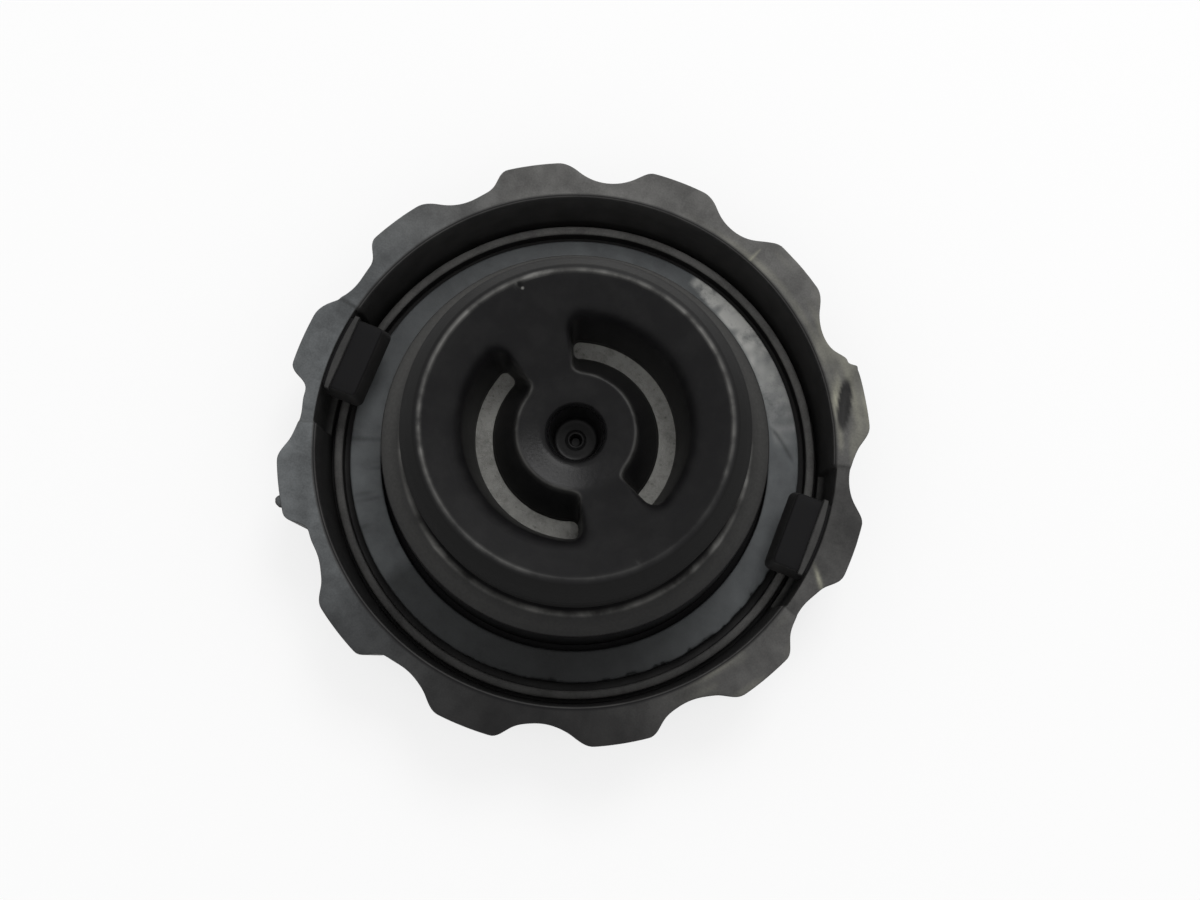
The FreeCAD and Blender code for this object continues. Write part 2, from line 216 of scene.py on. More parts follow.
def lobed(angle):
    """Distance from the axis to the lobed outline at the rim. In a hollow it is the near
    side of a circle, c cos b - sqrt(R^2 - (c sin b)^2), for a ray b off the hollow's
    middle; past the circle's foot it is a straight flank, k / cos(b + slope). Where it
    meets the tips, the smaller is taken with its corner eased. The twelve lobes of a used
    cap aren't quite alike, so each flank is moved in or out by a smooth hill."""
    pitch = 2 * np.pi / LOBES
    b = (angle + pitch) % pitch - pitch / 2
    which = np.round((angle - TIP_MIDDLE) / pitch).astype(int) % LOBES
    off_tip = np.degrees((angle - TIP_MIDDLE + pitch / 2) % pitch - pitch / 2)
    trim = np.array(TRIM_BEFORE)[which] * bump(off_tip + 8.3, 2.2)
    trim = trim + np.array(TRIM_AFTER)[which] * bump(off_tip - 8.6, 2.4)
    slope = np.where(b > 0, GENTLE, STEEP)
    b = np.abs(b)
    c = TIPS - HOLLOW_DEEP + HOLLOW_ROUND
    inside = np.maximum(HOLLOW_ROUND**2 - (c * np.sin(b)) ** 2, 0)
    hollow = c * np.cos(b) - np.sqrt(inside)
    foot_x, foot_y = HOLLOW_ROUND * np.sin(slope), c - HOLLOW_ROUND * np.cos(slope)
    flank = (foot_y * np.cos(slope) - foot_x * np.sin(slope)) / np.cos(b + slope)
    r = np.where(b < np.arctan2(foot_x, foot_y), hollow, flank) + trim
    gap = np.maximum(TIP_EASE - np.abs(r - TIPS), 0) / TIP_EASE
    return np.minimum(r, TIPS) - gap**2 * TIP_EASE / 4


# %% Angles round the skirt, closer together where the shape turns
def crowded(count, places, width, extra):
    """count angles over a full turn, their density 1 + extra * hill at each place."""
    fine = np.linspace(0, 2 * np.pi, 40000)
    density = np.ones_like(fine)
    for place in places:
        density += extra * bump(apart(fine, place), width)
    passed = np.concatenate([[0], np.cumsum((density[1:] + density[:-1]) / 2)])
    return np.interp(np.arange(count) / count, passed / passed[-1], fine)


RECESSES = [(-10.3, 17.1), (163.3, 196.7)]
RECESS_WIDER, RECESS_LOWER = 0.45, 0.35
turns = [end for ends in RECESSES for end in ends]
turns += [15 + 30 * k + side for k in range(LOBES) for side in (-6.9, 7.7)]
around = crowded(740, turns, math.radians(1.0), 1.6)
spacing = np.degrees(np.diff(around))
print("spacing round the skirt", spacing.min().round(3), "to", spacing.max().round(3))


def between(angle, start, end, soft=0.5):
    """1 between two bearings in degrees, 0 outside, with soft ends."""
    off, half = np.degrees(np.abs(apart(angle, (start + end) / 2))), (end - start) / 2
    return 1 - soft_step(off, half - soft, half + soft)


# %% [markdown]
# ## Wear on the shell
#
# One lobe was levered with a tool: its rim has a long slanting dent, with plastic pushed
# up outside it. Another lobe carries a small burr. The rim is a little lower beside the
# two lugs. The rest of the rim is slightly wavy, more so on the worn side.

# %% Displacements of the rim
DENT_ENDS = polar(np.array([28.75, 27.0]), np.radians([216.2, 203.8]), 0)[:, :2]
WORN_SIDE, NICK_AT, NICK_RADIUS = 208, 217.3, 29
DENT_DEEP, DENT_LONG, DENT_WIDE, FLAKES_HIGH = 0.4, 2.4, 0.42, 0.26


def from_dent(x, y):
    """Distances in mm from the dent's middle, along it and across it (outward)."""
    middle, way = DENT_ENDS.mean(axis=0), DENT_ENDS[1] - DENT_ENDS[0]
    way = way / np.linalg.norm(way)
    along = (x - middle[0]) * way[0] + (y - middle[1]) * way[1]
    return along, (x - middle[0]) * way[1] - (y - middle[1]) * way[0]


def rim_wear(radius, angle, height):
    """Change of radius and of height of points of the shell, in mm."""
    x, y = radius * np.cos(angle), radius * np.sin(angle)
    along, across = from_dent(x, y)
    top = soft_step(height, 9.3, 10.9)
    worn = 0.25 + 0.75 * bump(apart(angle, WORN_SIDE), 0.9)
    down = -DENT_DEEP * bump(along, DENT_LONG) * bump(across, DENT_WIDE)
    flakes = 0.5 + 0.5 * waves(along * 0.5, across * 2.2, 5, finest=0.8)
    down += FLAKES_HIGH * bump(along + 0.4, 2.6) * bump(across - 1.0, 0.35) * flakes
    down += 0.02 * waves(x, y, 11, finest=2.6) * worn
    down -= 0.05 * worn * np.maximum(waves(x, y, 12, finest=1.4) - 0.6, 0)
    outside = soft_step(radius, 27.4, 29.0)
    arc = apart(angle, NICK_AT) * NICK_RADIUS
    nick = 0.25 * (bump(arc, 0.25) - bump(arc - 0.6, 0.35)) * soft_step(height, 8, 10.6)
    sideways = outside * (nick + worn * 0.02 * waves(arc, height * 1.5, 21, finest=1.4))
    return sideways, down * top


# %% The shell's surface
crown_edge = tips_at(0)
corners = [
    (0, 0), (CROWN_FLAT, 0), (crown_edge, 0), (TIPS, RIM), (MOUTH, RIM),
    (MOUTH - (RIM - FLOOR) * MOUTH_DRAFT, FLOOR), (RIB_OUT, FLOOR), (RIB_OUT, RIB_TOP),
    (RIB_IN, RIB_TOP), (RIB_IN, FLOOR), (SPIGOT, FLOOR), (SPIGOT, SPIGOT_TOP),
    (SPIGOT - SPIGOT_WALL, SPIGOT_TOP), (SPIGOT - SPIGOT_WALL, FLOOR), (0, FLOOR),
]
rounds = [0, 0, 0.6, 0.28, 0.22, 0.15, 0.05, 0.36, 0.36, 0.1, 0.1, 0.2, 0.2, 0.1, 0]
steps = [9, 8, 1.2, 0.75, 0.3, 0.8, 1, 1, 1, 1, 4, 4, 4, 4, 5]


shell_path = section(corners, rounds, steps)


def shell_points(path, angle):
    """Points of the shell: the section (r, z) turned about the axis, less the lobes'
    hollows, with the rim lowered and the mouth widened beside the lugs, and the wear."""
    r, z = path[:, :1], path[:, 1:]
    on_rim, on_crown = z > RIM - 0.3, z < 0.05
    share = np.where(on_rim, (r - MOUTH - 0.3) / (TIPS - MOUTH - 0.7), 1.0)
    share = np.where(on_crown, (r - CROWN_FLAT) / (crown_edge - CROWN_FLAT - 0.7), share)
    share = np.where(r > MOUTH + 0.2, np.clip(share, 0, 1), 0)
    share = np.where((r > MOUTH + 0.9) & ~on_crown & ~on_rim, 1.0, share)
    low = sum(between(angle, *ends) for ends in RECESSES)[None]
    radius = r - share * (TIPS - lobed(angle)[None])
    mouth = soft_step(z, RIB_TOP, RIB_TOP + 0.4) * (r > RIB_OUT + 0.1)
    mouth = mouth * (1 - np.clip((r - MOUTH) / 1.5, 0, 1))
    radius = radius + RECESS_WIDER * low * mouth
    height = z - RECESS_LOWER * low * soft_step(z, RIM - 0.9, RIM - 0.3) + 0 * angle[None]
    sideways, down = rim_wear(radius, angle[None] + 0 * radius, height)
    outer = (r > CROWN_FLAT) & (z > 0.5)
    radius = np.minimum(radius + sideways * outer, TIPS - SPARE)
    return polar(radius, angle[None], height + down * (r > MOUTH - 0.2))


shell_grid = grid(shell_points(shell_path, around))
print("rows", len(shell_path), "columns", len(around))


# %% [markdown]
# ## The lugs and the burr
#
# Each lug is a straight-sided block that stands in from the mouth wall under the rim. Its
# sides slope towards its face, as they must to leave the mould. Behind the face a narrow
# higher step fills the widened mouth, and a hair's breadth of dark shows between that
# step and the rim. Both are stacks of outlines with rounded corners, closed in the middle.

# %% Lugs
LUG_IN, LUG_OUT, LUG_LOW, LUG_TOP = 22.25, 27.2, 7.3, 10.3
LUG_HALF, LUG_CORNER, LUG_DRAFT = 4.25, 0.7, math.tan(math.radians(9))
STEP_IN, STEP_OUT, STEP_LOW, STEP_TOP = 25.4, 26.24, 9.6, 10.6
STEP_HALF, STEP_CORNER = 4.05, 0.12


def rounded_outline(low, high, half, corner):
    """A rectangle from x = low to high and y = -half to half, anticlockwise, each corner a
    quarter circle of radius corner."""
    t = np.linspace(0, np.pi / 2, 7)
    side = np.linspace(-1, 1, 14)[1:-1]
    x0, x1, y1 = low + corner, high - corner, half - corner
    middle, reach = (x0 + x1) / 2, (x1 - x0) / 2
    c, s = corner * np.cos(t), corner * np.sin(t)
    parts = [(x0 - c, -y1 - s), (middle + side * reach, -half + 0 * side)]
    parts += [(x1 + s, -y1 - c), (high + 0 * side, side * y1)]
    parts += [(x1 + c, y1 + s), (middle - side * reach, half + 0 * side)]
    parts += [(x0 - s, y1 + c), (low + 0 * side, -side * y1)]
    return np.concatenate([np.stack(part, axis=-1) for part in parts])


def stacked_block(low, high, half, heights, insets, corner):
    """Outlines at each height, drawn in by the inset there, with their middles as poles."""
    rows = []
    for z, inset in zip(heights, insets):
        bend = max(corner - inset / 2, 0.05)
        flat = rounded_outline(low + inset, high - inset, half - inset, bend)
        rows.append(np.concatenate([flat, np.full((len(flat), 1), z)], axis=-1))
    shrink = np.linspace(0, 1, 5)[:, None, None]
    under, over = rows[0], rows[-1]
    under = under.mean(axis=0) + (under - under.mean(axis=0)) * shrink
    over = over.mean(axis=0) + (over - over.mean(axis=0)) * shrink[::-1]
    return np.concatenate([under[:-1], np.stack(rows), over[1:]])


def eased_heights(low, top, draft, edge=0.2):
    """Heights and insets of a block with sloping sides: its lower and upper edges are
    quarter rounds, inset = edge (1 - cos t) at a height edge (1 - sin t) short of the end."""
    t = np.linspace(0, np.pi / 2, 5)
    straight = np.linspace(low + edge, top - edge, 5)[1:-1]
    round_up, round_in = edge * (1 - np.sin(t)), edge * (1 - np.cos(t))
    heights = np.concatenate([low + round_up[::-1], straight, top - round_up])
    insets = np.concatenate([round_in[::-1], 0 * straight, round_in])
    return heights, insets + (heights - low) * draft


def swung(points, turn):
    """Points turned about the axis."""
    c, s = math.cos(turn), math.sin(turn)
    return points @ np.array([[c, s, 0], [-s, c, 0], [0, 0, 1]])


def lug(turn):
    """The block of one lug."""
    heights, insets = eased_heights(LUG_LOW, LUG_TOP, LUG_DRAFT)
    points = stacked_block(LUG_IN, LUG_OUT, LUG_HALF, heights, insets, LUG_CORNER)
    return grid(swung(points, turn))


def lug_step(turn):
    """The step behind the lug's face. Its outer side follows the mouth's circle."""
    heights, insets = eased_heights(STEP_LOW, STEP_TOP, 0)
    points = stacked_block(STEP_IN, STEP_OUT, STEP_HALF, heights, insets, STEP_CORNER)
    share = (points[..., 0] - STEP_IN) / (STEP_OUT - STEP_IN)
    points[..., 0] -= share * (STEP_OUT - np.sqrt(STEP_OUT**2 - points[..., 1] ** 2))
    return grid(swung(points, turn))


# %% Shell, lugs and burr in one piece
def ball(centre, radii):
    """An uneven ball: centre + radii * (sin u cos v, sin u sin v, cos u)."""
    u = np.linspace(0, np.pi, 12)[:, None]
    v = np.linspace(0, 2 * np.pi, 20, endpoint=False)[None]
    knob = 1 + 0.08 * waves(np.cos(v) * 3 + u, np.sin(v) * 3 - u, 3)
    knob[[0, -1]] = 1
    shape = [np.sin(u) * np.cos(v), np.sin(u) * np.sin(v), np.cos(u) + 0 * v]
    return centre + np.stack([s * k for s, k in zip(shape, radii)], -1) * knob[..., None]


BURR_AT = polar(29.95, math.radians(33.0), 10.1)
shell_parts = [shell_grid]
shell_parts += [part(turn) for turn in (0.0, math.pi) for part in (lug, lug_step)]
shell_parts += [grid(ball(BURR_AT, (0.75, 0.6, 0.65))[::-1])]
shell = piece("cap_shell_surface", shell_parts)
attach(shell, "root")
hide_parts("cap_shell")

# %% [markdown]
# ## The plug
#
# The plug is turned about the axis except where two curved windows cut the funnel. So the
# funnel and the underside are drawn as collars: loops of points that start on a window's
# outline and spread outwards until they fill half of the ring between two circles. The
# window's wall goes down from the same outline, and a short bend rounds its edge. All
# other surfaces of the plug are plain sections, with the same columns as the collars.

# %% Sizes of the plug, in mm
FOOT, SHOULDER, LEDGE, BARREL, GROOVE, TAPER = 19.95, 19.45, 17.5, 16.7, 16.45, 16.1
SHOULDER_Z, LEDGE_Z, BARREL_TOP, TAPER_Z, TIP_Z = 12.1, 13.2, 19.5, 20.8, 22.0
TIP_OUT, TIP_IN, DISC, DISC_Z = 15.13, 14.57, 5.8, 17.2
PIT, PIT_Z, PIT_FLOOR, PIT_FLOOR_Z, PIT_EDGE = 2.75, 16.7, 2.2, 12.3, 3.9
UPPER_BORE, FOOT_BORE, FOOT_BORE_Z, HUB, HUB_Z = 14.6, 17.2, 9.2, 4.2, 11.1
WINDOW_Z, WINDOW_IN, WINDOW_OUT, WINDOW_WIDE = 12.8, 8.26, 9.96, 136.3
FLARE_IN, FLARE_OUT, FLARE_END = (WINDOW_IN - DISC) / (DISC_Z - WINDOW_Z), 0.146, 0.75
WINDOWS = [math.radians(45), math.radians(225)]
PLUG_COLUMNS, END_POINTS, BEND_POINTS = 288, 16, 6


def funnel(r):
    """Height of the dish: the greater of a cone from the disc's edge up to the tip and a
    shallow one from that edge down to the pit, (a + b + sqrt((a - b)^2 + k^2)) / 2 with a
    small k, so that one runs smoothly into the other."""
    steep = DISC_Z + (r - DISC) * (TIP_Z - DISC_Z) / (TIP_IN - DISC)
    shallow = DISC_Z + (r - DISC) * (DISC_Z - PIT_Z) / (DISC - PIT)
    return np.minimum((steep + shallow + np.sqrt((steep - shallow) ** 2 + 0.15**2)) / 2, TIP_Z)


# %% A window's outline at any height
def window_loop(z):
    """Points (r, angle) of the window at height z: along the outside, in at one end, back
    along the inside and out at the other. Its walls lean apart as they rise. A corner is a
    quarter round, inset from the long side by c (1 - cos t) and from the end by
    c (1 - sin t), and t = 45 degrees falls where a square corner would be counted."""
    rise = z - WINDOW_Z
    low, high = WINDOW_IN - FLARE_IN * rise, WINDOW_OUT + FLARE_OUT * rise
    half = math.radians(WINDOW_WIDE + FLARE_END * rise) / 2
    corner_in, corner_out = 0.62 + 0.05 * rise, 0.62 + 0.12 * rise
    t = np.linspace(0, np.pi / 4, BEND_POINTS)

    def side(start, count):
        """Evenly spaced shares of the way between two corners, without its ends."""
        return start * np.linspace(1, -1, count - 2 * BEND_POINTS + 3)[1:-1]

    outer_r = high - corner_out * (1 - np.cos(t))
    outer_a = half - corner_out * (1 - np.sin(t)) / outer_r
    outer_end_r = high - corner_out * (1 - np.sin(t))
    outer_end_a = half - corner_out * (1 - np.cos(t)) / outer_end_r
    inner_r = low + corner_in * (1 - np.cos(t))
    inner_a = half - corner_in * (1 - np.sin(t)) / inner_r
    inner_end_r = low + corner_in * (1 - np.sin(t))
    inner_end_a = half - corner_in * (1 - np.cos(t)) / inner_end_r
    long_out = side(-outer_a[0], PLUG_COLUMNS // 2)
    long_in = side(inner_a[0], PLUG_COLUMNS // 2)
    top, bottom = outer_end_r[0], inner_end_r[0]
    down_r = (top + bottom) / 2 + side((top - bottom) / 2, END_POINTS)
    r = [outer_r[::-1], high + 0 * long_out, outer_r[:-1]]
    r += [outer_end_r[::-1], down_r, inner_end_r[:-1]]
    r += [inner_r[::-1], low + 0 * long_in, inner_r[:-1]]
    r += [inner_end_r[::-1], down_r[::-1], outer_end_r[:-1]]
    angle = [-outer_a[::-1], long_out, outer_a[:-1]]
    angle += [outer_end_a[::-1], half + 0 * down_r, inner_end_a[:-1]]
    angle += [inner_a[::-1], long_in, -inner_a[:-1]]
    angle += [-inner_end_a[::-1], -half + 0 * down_r, -outer_end_a[:-1]]
    return np.concatenate(r), np.concatenate(angle)


def border_loop(inner, outer):
    """The same number of points round half a ring between two circles."""
    long = np.linspace(-1, 1, PLUG_COLUMNS // 2 + 1)[:-1]
    end = np.linspace(0, 1, END_POINTS + 1)[:-1]
    right, wide = np.pi / 2, outer - inner
    r = [outer + 0 * long, outer - wide * end, inner + 0 * long, inner + wide * end]
    angle = [right * long, right + 0 * end, -right * long, -right + 0 * end]
    return np.concatenate(r), np.concatenate(angle)


def window_top():
    """The outline where the walls meet the dish. Each point's height is found by going
    back and forth a few times between the wall's height and the dish's."""
    z = np.full(len(window_loop(DISC_Z)[0]), DISC_Z)
    low = [window_loop(h) for h in (WINDOW_Z, TIP_Z)]
    for _ in range(12):
        share = (z - WINDOW_Z) / (TIP_Z - WINDOW_Z)
        r = low[0][0] + (low[1][0] - low[0][0]) * share
        angle = low[0][1] + (low[1][1] - low[0][1]) * share
        z = funnel(r)
    return r, angle, z


# %% Collars round the windows
def collar(middle, inner, outer):
    """Rows of loops from the window's bottom up its wall, over a rounded edge
    (1-t)^2 A + 2t(1-t) C + t^2 B, and across the dish to the half ring's border. The edge
    is sharper at the disc than on the outside."""
    r0, a0 = window_loop(WINDOW_Z)
    r1, a1, z1 = window_top()
    border_r, border_a = border_loop(inner, outer)
    edge = 0.26 + 1.0 * soft_step(r1, 6.2, 9.8)
    tall = np.maximum(z1 - WINDOW_Z, 0.1)
    share = np.linspace(0, 1, 10)[:, None] * (1 - edge / tall)
    wall = [r0 + (r1 - r0) * share, a0 + (a1 - a0) * share, WINDOW_Z + (z1 - WINDOW_Z) * share]
    wall = np.stack(wall, -1)
    first = edge / np.maximum(np.hypot(border_r - r1, (border_a - a1) * r1), 1.3)
    k = first + (1 - first) * np.linspace(0, 1, 22)[1:, None] ** 1.3
    k = np.concatenate([first[None], k])
    dish = np.stack([r1 + (border_r - r1) * k, a1 + (border_a - a1) * k], -1)
    dish = np.concatenate([dish, funnel(dish[..., :1])], -1)
    t = np.linspace(0, 1, 7)[1:-1, None, None]
    corner = np.stack([r1, a1, z1], -1)
    bend = (1 - t) ** 2 * wall[-1] + 2 * t * (1 - t) * corner + t * t * dish[0]
    flat = np.concatenate([wall, bend, dish])
    return polar(flat[..., 0], middle + flat[..., 1], flat[..., 2])


def under_collar(middle, inner, outer):
    """The same spread on the plug's flat underside, from the window's bottom outwards."""
    r0, a0 = window_loop(WINDOW_Z)
    border_r, border_a = border_loop(inner, outer)
    share = np.linspace(0, 1, 5)[:, None]
    r, angle = r0 + (border_r - r0) * share, a0 + (border_a - a0) * share
    return polar(r, middle + angle, WINDOW_Z)


# %% The plug's turned surfaces
columns = WINDOWS[0] - np.pi / 2 + np.linspace(0, 2 * np.pi, PLUG_COLUMNS, endpoint=False)


def turned(corners, rounds, steps):
    """A section turned about the axis on the plug's columns."""
    path = section(corners, rounds, steps)
    return polar(path[:, :1], columns[None], path[:, 1:])


outside = turned(
    [(UPPER_BORE, WINDOW_Z), (UPPER_BORE, FOOT_BORE_Z), (FOOT_BORE, FOOT_BORE_Z),
     (FOOT_BORE, FLOOR), (FOOT, FLOOR), (SHOULDER, SHOULDER_Z), (LEDGE, LEDGE_Z),
     (GROOVE, LEDGE_Z - 0.25), (GROOVE, LEDGE_Z + 0.25), (BARREL, LEDGE_Z + 0.5),
     (BARREL, BARREL_TOP), (TAPER, TAPER_Z), (TIP_OUT, TIP_Z), (TIP_IN, TIP_Z)],
    [0, 0.1, 0.1, 0.1, 0.2, 0.3, 0.22, 0.08, 0.08, 0.1, 0.35, 0.35, 0.24, 0],
    [1, 2, 2, 3, 2, 0.8, 0.5, 0.5, 0.5, 0.5, 0.8, 0.5, 0.5, 0.3],
)
pit = turned(
    [(PIT_EDGE, float(funnel(PIT_EDGE))), (PIT, float(funnel(PIT))),
     (PIT_FLOOR, PIT_FLOOR_Z), (1.0, PIT_FLOOR_Z), (0.85, PIT_FLOOR_Z + 0.15),
     (0.6, PIT_FLOOR_Z + 0.15), (0.45, PIT_FLOOR_Z - 1.0), (0, PIT_FLOOR_Z - 1.0)],
    [0, 0.8, 0.45, 0.12, 0.12, 0.12, 0.1, 0], [1, 0.4, 0.4, 0.3, 0.2, 0.2, 0.4, 0.3],
)
hub = turned([(0, HUB_Z), (HUB, HUB_Z), (HUB, WINDOW_Z)], [0, 0.2, 0], [2, 2, 1])

plug_parts = [grid(outside), grid(pit), grid(hub)]
for middle in WINDOWS:
    plug_parts.append(grid(collar(middle, PIT_EDGE, TIP_IN)[::-1]))
    plug_parts.append(grid(under_collar(middle, HUB, UPPER_BORE)))
plug = piece("plug_cup_surface", plug_parts)
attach(plug, "root")
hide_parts("plug_cup")


# %% [markdown]
# ## The rubber ring and the filter
#
# The ring is flat rubber with soft edges. It is old: its face is a little wavy, and on the
# side nearest the camera its outer edge is nibbled. The filter is a thin ring of pressed
# fibre, so its face is uneven at a scale of tenths of a millimetre.

# %% Rubber ring
SEAL_IN, SEAL_OUT, SEAL_TOP, SEAL_MIDDLE = 20.55, 23.85, 3.9, 22
RAGGED_SIDE = 135


def flat_ring(path, count):
    """A closed section turned about the axis: r, angle, z, and x and y of its points."""
    angle = np.linspace(0, 2 * np.pi, count, endpoint=False)[None]
    r, z = path[:, :1], path[:, 1:]
    return r, angle, z, r * np.cos(angle), r * np.sin(angle)


seal_path = section(
    [(SEAL_MIDDLE, FLOOR), (SEAL_OUT, FLOOR), (SEAL_OUT, SEAL_TOP), (SEAL_IN, SEAL_TOP),
     (SEAL_IN, FLOOR), (SEAL_MIDDLE, FLOOR)],
    [0, 0.1, 0.28, 0.28, 0.1, 0], [1, 1, 0.5, 0.22, 0.5, 1],
)
r, ring, z, x, y = flat_ring(seal_path, 900)
face = soft_step(z, SEAL_TOP - 0.6, SEAL_TOP)
nibble = np.maximum(waves(ring * 24, 0 * ring, 31, finest=0.5) - 0.1, 0)
nibble += np.maximum(waves(ring * 24, 5 + 0 * ring, 32, finest=1.6), 0)
outer_edge = soft_step(r, SEAL_OUT - 0.5, SEAL_OUT)
nibbled = outer_edge * face * nibble * bump(apart(ring, RAGGED_SIDE), 0.75)
seal_z = z - face * (0.03 + 0.03 * waves(x, y, 33, finest=2.5)) - 0.12 * nibbled
seal = piece("seal_ring_surface", [grid(polar(r - 0.22 * nibbled, ring, seal_z))])
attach(seal, "root")
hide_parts("seal_ring")

# %% Vent filter
FILTER_IN, FILTER_OUT, FILTER_LOW, FILTER_MIDDLE = 4.3, 14.5, 11.2, 9
LUMP_AT, LUMP_HIGH, LUMP_WIDE = polar(9.0, math.radians(108.5), 0), 0.35, 0.7
filter_path = section(
    [(FILTER_MIDDLE, FILTER_LOW), (FILTER_OUT, FILTER_LOW), (FILTER_OUT, WINDOW_Z),
     (FILTER_IN, WINDOW_Z), (FILTER_IN, FILTER_LOW), (FILTER_MIDDLE, FILTER_LOW)],
    [0, 0.1, 0.15, 0.15, 0.1, 0], [3, 6, 1, 0.16, 1, 6],
)
r, ring, z, x, y = flat_ring(filter_path, 480)
face = soft_step(z, WINDOW_Z - 0.3, WINDOW_Z)
fibre = 0.05 + 0.035 * waves(x, y, 41, finest=0.5) + 0.02 * waves(x, y, 42, finest=0.3)
lump = LUMP_HIGH * bump(np.hypot(x - LUMP_AT[0], y - LUMP_AT[1]), LUMP_WIDE)
vent = piece("vent_filter_surface", [grid(polar(r, ring, z - face * fibre + face * lump))])
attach(vent, "root")
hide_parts("vent_filter")

# %% [markdown]
# ## Finishes
#
# All four finishes are procedural and read Object coordinates, so a pattern stays where
# it is on the piece. Where wear or painted light follows the shape, such as scuffed edges,
# a dusty face, lightened recesses or highlighted edges, its strength is worked out for each
# point of the mesh from the same sizes as the surface, stored as an attribute, and broken
# up by noise in the material.

# %% Paint a strength on a piece's points
def measured(made):
    """The mesh's points in mm, their radius and angle, and how far the surface faces up."""
    count = len(made.data.vertices)
    at, facing = np.empty(count * 3, np.float32), np.empty(count * 3, np.float32)
    made.data.vertices.foreach_get("co", at)
    made.data.vertex_normals.foreach_get("vector", facing)
    at = at.reshape(-1, 3) / MM
    return at, np.hypot(at[:, 0], at[:, 1]), np.arctan2(at[:, 1], at[:, 0]), facing[2::3]


def paint(made, name, strength):
    """Stores one value from 0 to 1 for each point."""
    layer = made.data.attributes.new(name, "FLOAT", "POINT")
    layer.data.foreach_set("value", np.clip(strength, 0, 1).astype(np.float32))
    print(made.name, name, "mean", round(float(np.mean(strength)), 3))


def zones(angle, strengths):
    """A value for each angle, from strengths given at a few bearings in degrees: of wear, dust,
    bloom or painted light.
    """
    return np.interp(np.degrees(angle), list(strengths), list(strengths.values()), period=360)


# %% A finish and its nodes
SPOT_CORE = 0.3
PLASTIC_IOR, RUBBER_IOR, COMMON_IOR, COMMON_SPECULAR = 1.38, 1.4, 1.5, 0.5


class Finish:
    """A procedural material, with a short way to add each kind of node. A value handed to
    a node is a number, a colour or another node's output, which is then linked."""

    def __init__(self, name):
        self.material = bpy.data.materials.new(name)
        self.material.use_nodes = True
        self.tree = self.material.node_tree
        self.shader = self.tree.nodes["Principled BSDF"]

    def feed(self, socket, value):
        """Links an output to the socket, or sets the socket's own value."""
        if isinstance(value, bpy.types.NodeSocket):
            self.tree.links.new(value, socket)
        else:
            socket.default_value = value

    def node(self, kind, settings=None, **inputs):
        """The outputs of a new node. Its inputs are named, or i and a number."""
        made = self.tree.nodes.new("ShaderNode" + kind)
        for key, value in (settings or {}).items():
            setattr(made, key, value)
        for key, value in inputs.items():
            key = int(key[1:]) if key[1:].isdigit() else key.replace("_", " ")
            self.feed(made.inputs[key], value)
        return made.outputs

    def place(self):
        """Object coordinates in mm."""
        where = self.node("TexCoord")["Object"]
        return self.node("Mapping", Vector=where, Scale=[1 / MM] * 3)["Vector"]

    def noise(self, where, scale, detail, rough):
        """Clouds of noise, scale of them to the millimetre."""
        inputs = {"Scale": scale, "Detail": detail, "Roughness": rough}
        return self.node("TexNoise", Vector=where, **inputs)["Fac"]

    def attribute(self, name):
        """A strength that was painted on the points."""
        return self.node("Attribute", {"attribute_name": name})["Fac"]

    def ramp(self, value, low, high):
        """0 below low and 1 above high, with a smooth rise between them."""
        smooth = {"interpolation_type": "SMOOTHSTEP"}
        return self.node("MapRange", smooth, Value=value, From_Min=low, From_Max=high)["Result"]

    def spread(self, value, low, high, start=0.0, end=1.0):
        """low where the value is start and high where it is end, straight between them."""
        inputs = {"From_Min": start, "From_Max": end, "To_Min": low, "To_Max": high}
        return self.node("MapRange", Value=value, **inputs)["Result"]

    def maths(self, operation, a, b, clamp=True):
        """Two values joined by a sum or the like, kept between 0 and 1 if clamped."""
        settings = {"operation": operation, "use_clamp": clamp}
        return self.node("Math", settings, i0=a, i1=b)["Value"]

    def plus(self, a, b):
        return self.maths("ADD", a, b)

    def less(self, a, b):
        return self.maths("SUBTRACT", a, b, clamp=False)

    def times(self, a, b):
        return self.maths("MULTIPLY", a, b)

    def most(self, a, b):
        return self.maths("MAXIMUM", a, b)

    def mixed(self, share, a, b):
        """The colour (1 - share) a + share b."""
        return self.node("Mix", {"data_type": "RGBA"}, i0=share, i6=a, i7=b)[2]

    def spot(self, where, radius, bearing, height, size):
        """1 at the place with this radius, bearing and height, and 0 from size mm off it."""
        place = polar(radius, math.radians(bearing), height).tolist()
        away = self.node("VectorMath", {"operation": "DISTANCE"}, i0=where, i1=place)["Value"]
        return self.spread(away, 1.0, 0.0, size * SPOT_CORE, size)

    def relief(self, height, strength, depth):
        """Fine bumps, depth in mm."""
        made = self.node("Bump", Height=height, Strength=strength, Distance=depth * MM)
        self.feed(self.shader.inputs["Normal"], made["Normal"])

    def cover(self, made, colour, rough, ior, specular):
        """Sets the shader's inputs and gives the finish to a piece."""
        self.feed(self.shader.inputs["Base Color"], colour)
        self.feed(self.shader.inputs["Roughness"], rough)
        self.shader.inputs["IOR"].default_value = ior
        self.shader.inputs["Specular IOR Level"].default_value = specular
        made.data.materials.append(self.material)


# %% [markdown]
# ### Shell plastic
#
# The shell's plastic is black where nothing has touched it, as on the wall inside the
# mouth. The rim's face has been rubbed for years and is grey and mottled, most of all on
# the side where the dent is, with pale, slightly yellow smears there. Painted light is
# mixed into the grey: it is darker on the side nearest the camera as painted shade and
# lighter towards the lamp, a painted bluish light tints one side, and the rib, the mouth's
# walls and the channel are lightened with painted light where the rim shades them.

# %% Strengths on the shell's rim
# Strength of the rim's grey at a few bearings: rubbed wear with painted light in it. The low
# values on the side nearest the camera are painted shade.
RUBBED_AND_LIT_RIM = {20: 0.64, 45: 0.48, 60: 0.23, 95: 0.05, 120: 0.1, 140: 0.3, 165: 0.42,
              185: 0.28, 200: 0.42, 285: 0.54, 330: 0.46}
DARK_LONG, DARK_WIDE = 2.9, 0.8

